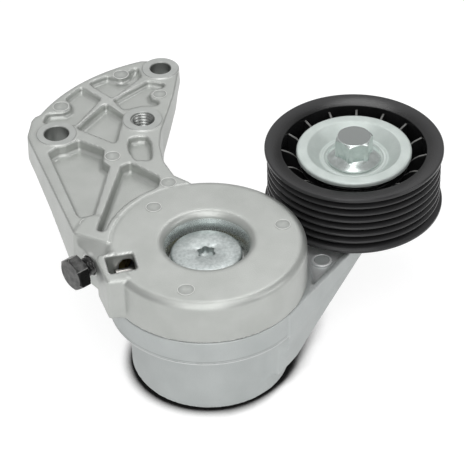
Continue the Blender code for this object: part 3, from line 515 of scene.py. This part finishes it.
MARKS = [(12.9, 113.3, 3.6), (47.3, 115.0, 3.5), (50.6, 91.8, 3.2), (7.3, 69.9, 3.4), (13.2, 39.9, 3.4)]
MARKS += [(-28.2, 40.6, 3.5), (-1.8, 31.1, 3.3), (29.8, -12.7, 3.3), (-25.4, -18.2, 3.5)]  # x, y, radius


def several(shapes):
    """The points and quads of several shapes as one list of each."""
    start = np.cumsum([0] + [len(points) for points, faces in shapes[:-1]])
    faces = np.concatenate([faces + first for (points, faces), first in zip(shapes, start)])
    return np.concatenate([points for points, faces in shapes]), faces


PAD_STEPS = 72
rings = []
for hole_x, hole_y, hole, pad in HOLES:
    ring = [(hole, 61.7), (hole, 52.7), (hole + 1.0, 52.7), (hole + 1.0, 61.0), (pad, 61.0), (pad, 61.65)]
    rings.append(turned(ring + [(pad - 0.45, 62.1), (hole + 0.4, 62.1)], (hole_x, hole_y), PAD_STEPS))
ring_shade = np.repeat([0.9, 0.9, 0.9, 0, -0.7, -0.7, 0, 0, 0.9], PAD_STEPS)  # painted shade in the bore, painted highlight on the chamfer
pads = put_in_scene("faced_pads", *several(rings), sharp=30, shade=np.tile(ring_shade, len(HOLES)))
faced = surface("faced_aluminium", (0.43, 0.445, 0.43), (0.49, 0.505, 0.49), (0.34, 0.44), 0.7, 0.3, 6.0, 0.12)
shaded_by_form(faced, (0.20, 0.21, 0.20), (0.72, 0.73, 0.71))
pads.data.materials.append(faced)
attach(pads, "bracket")

bore_x, bore_y, bore = RECESS
bore_face = [(bore + 0.4, 49.6), (bore + 0.4, 58.6), (bore, 58.9), (bore - 0.1, 58.7), (bore - 0.1, 49.6)]
recess_face = put_in_scene("recess_bore_face", *turned(bore_face, (bore_x, bore_y), 128), sharp=30)
bored = surface("bored_aluminium", (0.54, 0.58, 0.57), (0.68, 0.725, 0.715), (0.24, 0.30), 0.8, 0.4, 7.0, 0.02)
recess_face.data.materials.append(bored)
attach(recess_face, "bracket")

MARK_STEPS = 40
discs = []
for mark_x, mark_y, mark in MARKS:
    lip = [(0, TOP - 0.4), (mark, TOP - 0.4), (mark, TOP + 0.16), (mark - 0.1, TOP + 0.22), (mark - 0.35, TOP + 0.22)]
    discs.append(turned(lip + [(mark - 0.5, TOP + 0.06), (0, TOP + 0.08)], (mark_x, mark_y), MARK_STEPS))
lip_shade = np.repeat([0, 0, -0.5, -0.8, -0.5, 0.5, 0, 0], MARK_STEPS)  # a painted highlight on the lip with a line of painted shade inside it
marks = put_in_scene("ejector_marks", *several(discs), sharp=30, shade=np.tile(lip_shade, len(MARKS)))
flash = surface("ejector_mark_skin", (0.42, 0.435, 0.415), (0.51, 0.525, 0.505), (0.36, 0.5), 0.65, 0.5, 2.0, 0.5)
shaded_by_form(flash, (0.28, 0.29, 0.28), (0.74, 0.75, 0.73))
marks.data.materials.append(flash)
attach(marks, "bracket")


# Tapped thread: the M10 thread cut in the bracket's centre hole, in bare aluminium darkened as a painted shade of the
# hole. Here it is a sleeve in the hole's wall whose bore follows the thread.

COARSE_PITCH = 1.5
THREAD_STEPS = 48
turn = full_turn(THREAD_STEPS)
height = 52.9 + 8.6 * np.linspace(0, 1, 110)
saw = np.abs(((height[:, None] / COARSE_PITCH - turn / (2 * np.pi)) % 1) * 2 - 1)
bore = 4.3 + 0.62 * saw
bore[[0, -1]] = 4.95
radius = np.concatenate([bore, np.full((2, THREAD_STEPS), 5.1), bore[:1]])
height = np.concatenate([height, [height[-1], height[0]], height[:1]])
points = ringed(HOLES[2][:2], radius, height, turn)
thread = put_in_scene("tapped_thread", points, grid_faces(len(height), THREAD_STEPS, flip=True), sharp=35)
cut_metal = surface("cut_aluminium", (0.28, 0.29, 0.28), (0.42, 0.43, 0.42), (0.22, 0.34), 1.0, 0.3, 3.0, 0.1)
thread.data.materials.append(cut_metal)
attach(thread, "bracket")


# Pivot: a zinc-plated steel pin, pressed into the arm's cup, turns in an amber polymer bush in the bracket's hub.
# A steel thrust washer lies under its head, and a six-lobe socket is pressed into the head.

PIN_TOP = 56.0
bush_profile = [(10.4, 15.0), (12.3, 15.0), (12.3, 49.8), (15.7, 49.8), (15.7, 51.0), (10.4, 51.0)]
bush = put_in_scene("pivot_bush_moulding", *turned(rounded(bush_profile, 0.25, 4)), sharp=40)
bush.data.materials.append(polymer)
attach(bush, "bracket")
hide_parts("pivot_bush")

washer_profile = [(10.4, 51.3), (15.4, 51.3), (15.4, 52.3), (10.4, 52.3)]
washer = put_in_scene("thrust_washer_ring", *turned(rounded(washer_profile, 0.2, 4)), sharp=40)
steel = surface("ground_steel", (0.50, 0.50, 0.50), (0.66, 0.66, 0.65), (0.16, 0.3), 1.0, 0.25, 3.0, 0.06)
washer.data.materials.append(steel)
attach(washer, "arm")
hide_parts("thrust_washer")

PIN_STEPS = 96
turn = full_turn(PIN_STEPS)
socket = 3.3 + 0.45 * np.cos(6 * turn)  # radius of the six-lobe socket
rows = [(0, 3.7), (9.1, 3.7), (10.1, 4.7), (10.1, 52.6), (14.2, 52.6), (14.5, 52.9), (14.5, PIN_TOP - 0.8)]
rows += [(14.2, PIN_TOP - 0.25), (13.6, PIN_TOP), (9.0, PIN_TOP)]
rows += [(socket + 0.5, PIN_TOP), (socket + 0.12, PIN_TOP - 0.12), (socket, PIN_TOP - 0.5)]
rows += [(socket * 0.92, PIN_TOP - 2.4), (0, PIN_TOP - 2.9)]


def in_rings(rows, turn):
    """A list of rings as an array of their radii at each angle and one of their heights. A radius may be one number."""
    radius = np.stack([np.broadcast_to(radius, turn.shape) for radius, height in rows])
    return radius, np.array([height for radius, height in rows])


radius, height = in_rings(rows, turn)
points = ringed((0, 0), radius, height, turn)
pin = put_in_scene("pivot_pin_steel", points, grid_faces(len(height), PIN_STEPS), sharp=40)
zinc_grain = surface(
    "zinc_on_forged_steel", (0.36, 0.395, 0.39), (0.54, 0.575, 0.57), (0.28, 0.42), 0.9, 0.5, 1.2, 0.35
)
pin.data.materials.append(zinc_grain)
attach(pin, "arm")
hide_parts("pivot_pin")


# Stop bolt: a black-oxide M8 hexagon bolt screwed into the bracket's boss, with a few threads left showing. Its tip
# limits how far the arm's lug can swing.

BOLT_Y, BOLT_Z = 28.1, 52.5
HEAD, SEAT = -47.4, -42.1  # where along x the head starts and ends
FINE_PITCH = 1.25
HEX_STEPS = 120


def hexagon(turn, flats, start):
    """Distance from the middle to a hexagon's side at each angle: half the width across flats over the cosine of the
    angle from the nearest flat's middle."""
    return flats / 2 / np.cos((turn - start) % (np.pi / 3) - np.pi / 6)


start = math.radians(80)
turn = full_turn(HEX_STEPS) + start
corner_edge = hexagon(turn, 13.0, start)
depth = np.linspace(0, 1, 22)
crown = np.minimum(corner_edge, (6.15 + 1.75 * depth)[:, None])
rows = [(0, HEAD), (5.9, HEAD), *zip(crown, HEAD + 1.1 * depth), (corner_edge, SEAT - 0.65)]
rows += [(np.minimum(corner_edge, 6.9), SEAT - 0.45), (5.9, SEAT - 0.4), (5.8, SEAT), (4.0, SEAT)]
along = np.arange(SEAT + 0.1, -19.6, FINE_PITCH / 8)
saw = np.abs(((along[:, None] / FINE_PITCH - turn / (2 * np.pi)) % 1) * 2 - 1)
rows += [*zip(4.0 - 0.62 * saw, along), (3.4, -19.5), (2.8, -18.7), (0, -18.7)]
radius, along = in_rings(rows, turn)
y, z, x = ringed((BOLT_Y, BOLT_Z), radius, along, turn).T
points, faces = np.stack([x, y, z], 1), grid_faces(len(along), HEX_STEPS)
painted_glints_and_shade = np.zeros(radius.shape)  # the hexagon's corners carry a painted highlight and one face a painted shade
painted_glints_and_shade[2:26, 20:41] = 0.9
painted_glints_and_shade[2:26, ::20] = -0.8
stop_bolt = put_in_scene("stop_bolt_steel", points, faces, sharp=28, shade=painted_glints_and_shade)
oxide = surface("black_oxide_skin", (0.05, 0.05, 0.05), (0.13, 0.13, 0.128), (0.26, 0.42), 0.9, 0.6, 2.5, 0.3)
shaded_by_form(oxide, (0.018, 0.018, 0.018), (0.30, 0.30, 0.295))
stop_bolt.data.materials.append(oxide)
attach(stop_bolt, "stop_screw")
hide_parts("stop_bolt")


# Bearing: a sealed deep-groove ball bearing, 17 by 40 by 12 mm, pressed on the arm's post. Its rings and balls are
# ground steel, the cage is pressed steel, and the two seals are black rubber.

rubber = surface("seal_rubber_skin", (0.018, 0.018, 0.018), (0.035, 0.035, 0.034), (0.55, 0.75), 0.0, 0.4, 3.0, 0.25)
pressed = surface("pressed_steel", (0.40, 0.40, 0.39), (0.55, 0.55, 0.54), (0.3, 0.45), 1.0, 0.5, 4.0, 0.15)
looks = {"bearing_inner_ring": steel, "bearing_outer_ring": steel, "ball_cage": pressed}
looks |= {"front_seal": rubber, "rear_seal": rubber, **{f"ball_{number}": steel for number in range(1, 9)}}
for node, look in looks.items():
    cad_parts[node].data.materials.clear()
    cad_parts[node].data.materials.append(look)


# Pulley: a moulded black wheel with seven V grooves for the belt. A web with sixteen thin ribs joins its rim to the
# seat of the bearing. The crests of its grooves are painted lighter, as a painted highlight.

PULLEY_TOP, PULLEY_BOTTOM = 69.2, 41.2
GROOVE_PITCH = 3.56
middles = PULLEY_BOTTOM + 1.54 + GROOVE_PITCH * (np.arange(7) + 0.5)
valleys = np.stack([np.full((7, 2), 33.8), middles[:, None] + [-0.35, 0.35]], -1)
crests = np.stack([np.full((6, 2), 36.4), (middles[:6, None] + GROOVE_PITCH / 2) + [-0.35, 0.35]], -1)
grooves = np.concatenate([np.concatenate([valleys[:6], crests], 1).reshape(-1, 2), valleys[6]])
rim = [(20.3, 50.1), (22.9, 50.1), (22.9, 53.5), (30.3, 53.5), (30.3, PULLEY_BOTTOM + 1.3), (37.0, PULLEY_BOTTOM)]
rim += [(37.4, PULLEY_BOTTOM + 0.5), (37.4, PULLEY_BOTTOM + 1.54), *grooves, (37.4, PULLEY_TOP - 1.54)]
rim += [(37.4, PULLEY_TOP - 0.5), (37.0, PULLEY_TOP), (30.3, PULLEY_TOP - 1.3), (30.3, 57.5), (22.9, 57.5)]
rim += [(22.9, 60.9), (20.3, 60.9)]
rim = rounded(rim, 0.3, 4)
points, faces = turned(rim, (ARM_LENGTH, 0), 160)
painted_crest_highlight = np.clip((np.hypot(points[:, 0] - ARM_LENGTH, points[:, 1]) - 35.6) / 0.7, 0, 1)
wheel = put_in_scene("pulley_wheel_moulding", points, faces, sharp=35, shade=-painted_crest_highlight)
nylon = surface("black_nylon_skin", (0.006, 0.006, 0.0062), (0.011, 0.011, 0.0113), (0.15, 0.23), 0.0, 0.3, 9.0, 0.05)
nylon.node_tree.nodes["Principled BSDF"].inputs["Specular IOR Level"].default_value = 0.31
shaded_by_form(nylon, (0.005, 0.005, 0.005), (0.03, 0.03, 0.031))
wheel.data.materials.append(nylon)
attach(wheel, "pulley")
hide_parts("pulley_wheel")

RIB_SIDE = rounded([(22.3, 56.9), (30.6, 56.9), (30.6, 65.9), (27.0, 64.6), (25.2, 63.4), (22.3, 60.4)], 0.4, 3)
rib_size = np.array([0.0, 0.975, 1.0, 1.0, 0.975, 0.0])[:, None, None]
rib_side = np.array([-0.5, -0.5, -0.38, 0.38, 0.5, 0.5])[:, None]
rib_flat = RIB_SIDE.mean(0) + (RIB_SIDE - RIB_SIDE.mean(0)) * rib_size
# The ribs' top edges carry a painted highlight.
rib_painted_highlight = np.where((rib_size[..., 0] == 1) & (rib_flat[..., 1] > 59), -0.9, 0.0)
RIBS = 16
ribs = []
for angle in 2 * np.pi * np.arange(RIBS) / RIBS:
    rib_x = ARM_LENGTH + rib_flat[..., 0] * math.cos(angle) - rib_side * math.sin(angle)
    rib_y = rib_flat[..., 0] * math.sin(angle) + rib_side * math.cos(angle)
    points = np.stack([rib_x, rib_y, rib_flat[..., 1]], -1).reshape(-1, 3)
    ribs.append((points, grid_faces(len(rib_flat), len(RIB_SIDE), flip=True)))
web = put_in_scene("pulley_web_ribs", *several(ribs), sharp=35, shade=np.tile(rib_painted_highlight.ravel(), RIBS))
rib_skin = surface("black_nylon_rib", (0.006, 0.006, 0.0062), (0.011, 0.011, 0.0113), (0.3, 0.44), 0.0, 0.3, 9.0, 0.14)
rib_skin.node_tree.nodes["Principled BSDF"].inputs["Specular IOR Level"].default_value = 0.45
shaded_by_form(rib_skin, (0.005, 0.005, 0.005), (0.16, 0.16, 0.155))
web.data.materials.append(rib_skin)
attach(web, "pulley")


# Dust shield: pressed from zinc-plated sheet steel, dished down to a seat and clamped under the pulley bolt so that
# it covers the bearing.

shield_top = [(5.5, 62.8), (11.9, 62.8), (12.5, 63.25), (13.3, 63.3), (14.0, 63.05), (14.6, 63.2), (19.0, 67.1)]
shield_top += [(19.5, 67.45), (20.0, 67.5), (23.3, 67.5), (23.9, 67.25), (24.1, 66.7), (24.1, 65.3)]
shield_under = [(23.1, 65.3), (23.1, 66.5), (20.2, 66.5), (19.4, 66.2), (14.9, 62.1), (13.0, 61.8), (5.5, 61.8)]
points, faces = turned(rounded(shield_top + shield_under, 0.3, 4), (ARM_LENGTH, 0), 128)
shield = put_in_scene("dust_shield_pressing", points, faces[:, ::-1], sharp=50)
zinc = surface("zinc_on_sheet_steel", (0.55, 0.605, 0.58), (0.62, 0.675, 0.65), (0.42, 0.54), 0.5, 0.6, 6.0, 0.1)
shield.data.materials.append(zinc)
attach(shield, "arm")
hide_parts("dust_shield")


# Pulley bolt: a zinc-plated M10 flange bolt, forged with a hexagon head on a skirt, that clamps the shield and the
# bearing to the arm's post.

BOLT_SEAT, BOLT_TOP = 62.85, 74.0
start = math.radians(32.5)
turn = full_turn(HEX_STEPS) + start
corner_edge = hexagon(turn, 14.0, start)
rows = [(0, 36.3), (3.9, 36.3), (4.9, 37.3), (4.9, BOLT_SEAT)]
rows += [(11.2, BOLT_SEAT), (11.45, BOLT_SEAT + 0.4), (11.2, BOLT_SEAT + 0.9)]
skirt = np.linspace(0, 1, 40)[:, None]
flare = np.maximum(corner_edge, 11.0 - 3.3 * skirt + 0.5 * skirt * (1 - skirt))
rows += zip(flare, BOLT_SEAT + 1.0 + 1.5 * skirt[:, 0])
rows += [(corner_edge, BOLT_SEAT + 2.9), (corner_edge, BOLT_TOP - 1.25)]
chamfer = np.linspace(0, 1, 24)[:, None]
rows += zip(np.minimum(corner_edge, 8.15 - 1.2 * chamfer), BOLT_TOP - 1.25 + 1.2 * chamfer[:, 0])
rows += [(6.75, BOLT_TOP), (6.2, BOLT_TOP - 0.03), (3.0, BOLT_TOP - 0.06), (0, BOLT_TOP - 0.06)]
radius, height = in_rings(rows, turn)
points, faces = ringed((ARM_LENGTH, 0), radius, height, turn), grid_faces(len(height), HEX_STEPS)
top_face = np.zeros(radius.shape)  # the head's top is duller than its sides
top_face[-4:] = 0.9
bolt = put_in_scene("pulley_bolt_steel", points, faces, sharp=28, shade=top_face)
zinc_head = surface("zinc_on_bolt_steel", (0.58, 0.63, 0.615), (0.72, 0.77, 0.75), (0.16, 0.26), 1.0, 0.5, 2.2, 0.06)
shaded_by_form(zinc_head, (0.28, 0.295, 0.29), (0.8, 0.82, 0.8))
bolt.data.materials.append(zinc_head)
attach(bolt, "arm")
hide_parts("pulley_bolt")


# Studio: a white table with a painted shadow close to the object's foot and a patch of painted light to the right of
# the cup, a white surround, and six soft lamps. The table glows a little by itself, so that it stays white to the
# edge of the picture.

bpy.ops.mesh.primitive_plane_add(size=8.0, location=(0, 0, -0.0002))
table = bpy.context.object
table.name = "table"
paper = bpy.data.materials.new("white_table")
paper.use_nodes = True
tree = paper.node_tree
tree.nodes.clear()


def calculated(tree, operation, *values):
    """The result of a maths node that works on numbers and on sockets."""
    made = tree.nodes.new("ShaderNodeMath")
    made.operation = operation
    for socket, value in zip(made.inputs, values):
        if isinstance(value, bpy.types.NodeSocket):
            tree.links.new(value, socket)
        else:
            socket.default_value = value
    return made.outputs["Value"]


def added(tree, first, second):
    """The sum of two shaders."""
    both = tree.nodes.new("ShaderNodeAddShader")
    tree.links.new(first.outputs[0], both.inputs[0])
    tree.links.new(second.outputs[0], both.inputs[1])
    return both.outputs["Shader"]


TO_THE_RIGHT = (0.772, -0.636, 0)  # along the table, as the camera sees it
ray = tree.nodes.new("ShaderNodeLightPath")
nearness = tree.nodes.new("ShaderNodeAmbientOcclusion")
nearness.samples = 64
nearness.inputs["Distance"].default_value = 0.035
spot = tree.nodes.new("ShaderNodeTexCoord")
aside = tree.nodes.new("ShaderNodeVectorMath")
aside.operation = "DOT_PRODUCT"
aside.inputs[1].default_value = TO_THE_RIGHT
tree.links.new(spot.outputs["Object"], aside.inputs[0])
reach = tree.nodes.new("ShaderNodeMapRange")
reach.inputs["From Max"].default_value = 0.06
tree.links.new(aside.outputs["Value"], reach.inputs["Value"])
painted_spill_light = tree.nodes.new("ShaderNodeValToRGB")  # painted light: the table is painted paler to the right of the cup
for position, share in ((0.13, 0), (0.52, 1), (0.62, 1), (0.8, 0.25)):
    painted_spill_light.color_ramp.elements.new(position).color = (share, share, share, 1)
painted_spill_light.color_ramp.elements[0].color = (0, 0, 0, 1)
painted_spill_light.color_ramp.elements[-1].color = (0.25, 0.25, 0.25, 1)
tree.links.new(reach.outputs["Result"], painted_spill_light.inputs["Fac"])
open_share = calculated(tree, "MULTIPLY_ADD", painted_spill_light.outputs["Color"], 0.075, nearness.outputs["AO"])
painted_contact_shadow = tree.nodes.new("ShaderNodeMapRange")  # painted shadow: dark at the object's foot and white away from it
painted_contact_shadow.inputs["From Min"].default_value, painted_contact_shadow.inputs["From Max"].default_value = 0.49, 0.61
painted_contact_shadow.inputs["To Min"].default_value = 0.008
tree.links.new(open_share, painted_contact_shadow.inputs["Value"])

seen_paper, seen_glow = tree.nodes.new("ShaderNodeBsdfDiffuse"), tree.nodes.new("ShaderNodeEmission")
tree.links.new(calculated(tree, "MULTIPLY", 0.30, painted_contact_shadow.outputs["Result"]), seen_paper.inputs["Color"])
tree.links.new(calculated(tree, "MULTIPLY", 0.82, painted_contact_shadow.outputs["Result"]), seen_glow.inputs["Strength"])
matt, mirrored = tree.nodes.new("ShaderNodeBsdfDiffuse"), tree.nodes.new("ShaderNodeEmission")
matt.inputs["Color"].default_value = (0.5, 0.5, 0.5, 1)
tree.links.new(calculated(tree, "MULTIPLY", ray.outputs["Is Glossy Ray"], 0.6), mirrored.inputs["Strength"])
split = tree.nodes.new("ShaderNodeMixShader")  # what the camera sees, and what the object is lit by
tree.links.new(ray.outputs["Is Camera Ray"], split.inputs["Fac"])
tree.links.new(added(tree, matt, mirrored), split.inputs[1])
tree.links.new(added(tree, seen_paper, seen_glow), split.inputs[2])
tree.links.new(split.outputs["Shader"], tree.nodes.new("ShaderNodeOutputMaterial").inputs["Surface"])
table.data.materials.append(paper)

world = bpy.data.worlds.new("white_surround")
bpy.context.scene.world = world
world.use_nodes = True
tree = world.node_tree
tree.nodes.clear()
ray = tree.nodes.new("ShaderNodeLightPath")
seen = calculated(tree, "MAXIMUM", ray.outputs["Is Camera Ray"], ray.outputs["Is Transmission Ray"])
level = tree.nodes.new("ShaderNodeMapRange")
level.inputs["To Min"].default_value, level.inputs["To Max"].default_value = 0.45, 1.0
tree.links.new(seen, level.inputs["Value"])
sky = tree.nodes.new("ShaderNodeBackground")
sky.inputs["Color"].default_value = (1, 1, 1, 1)
tree.links.new(level.outputs["Result"], sky.inputs["Strength"])
tree.links.new(sky.outputs["Background"], tree.nodes.new("ShaderNodeOutputWorld").inputs["Surface"])


def soft_lamp(name, place, aim, size, power):
    """A square soft box at place, in metres, turned to shine at aim. Its power is in watts."""
    lamp = bpy.data.lights.new(name, "AREA")
    lamp.size, lamp.energy = size, power
    made = bpy.data.objects.new(name, lamp)
    bpy.context.scene.collection.objects.link(made)
    made.location = place
    away = np.array(place, float) - aim
    z = away / np.linalg.norm(away)
    x = np.cross((0, 1, 0.01), z)
    x /= np.linalg.norm(x)
    made.rotation_euler = Matrix(np.stack([x, np.cross(z, x), z], 1).tolist()).to_euler()


soft_lamp("far_box", (0.74, 0.89, 1.18), (0.03, 0.03, 0.03), 1.1, 1.9)
soft_lamp("high_box", (0.52, 0.53, 1.36), (0.05, 0.02, 0.05), 0.35, 1.9)
soft_lamp("top_box", (-0.18, -0.22, 1.05), (0.03, 0.03, 0.03), 0.8, 3.6)
soft_lamp("front_box", (-0.75, -0.80, 0.62), (0.02, 0.03, 0.03), 1.1, 5.6)
soft_lamp("right_box", (0.55, -0.85, 0.60), (0.04, 0.0, 0.03), 0.5, 1.3)
soft_lamp("left_box", (-0.80, -0.45, 0.50), (0.02, 0.03, 0.03), 0.6, 0.5)


# Camera: at the photograph's angle, on a long lens. Its place, angles and focal length were fitted to the pulley's rims
# and ridges.

SENSOR_WIDTH = 36.0
FOCAL_LENGTH, PICTURE_WIDTH = 2264.9, 464  # in pixels
CAMERA_PLACE = (-0.4417, -0.5524, 0.6289)
turn, tilt, roll = math.radians(39.503), 0.670276, -0.027218
ahead = np.array([math.sin(turn) * math.cos(tilt), math.cos(turn) * math.cos(tilt), -math.sin(tilt)])
right = np.array([math.cos(turn), -math.sin(turn), 0])
up = np.cross(right, ahead)
right, up = math.cos(roll) * right + math.sin(roll) * up, math.cos(roll) * up - math.sin(roll) * right
lens = bpy.data.cameras.new("camera")
lens.sensor_width = SENSOR_WIDTH
lens.lens = FOCAL_LENGTH / PICTURE_WIDTH * SENSOR_WIDTH
camera = bpy.data.objects.new("camera", lens)
bpy.context.scene.collection.objects.link(camera)
facing = Matrix(np.stack([right, up, -ahead], 1).tolist()).to_4x4()
camera.matrix_world = Matrix.Translation(CAMERA_PLACE) @ facing
bpy.context.scene.camera = camera
bpy.context.scene.view_settings.view_transform = "Standard"
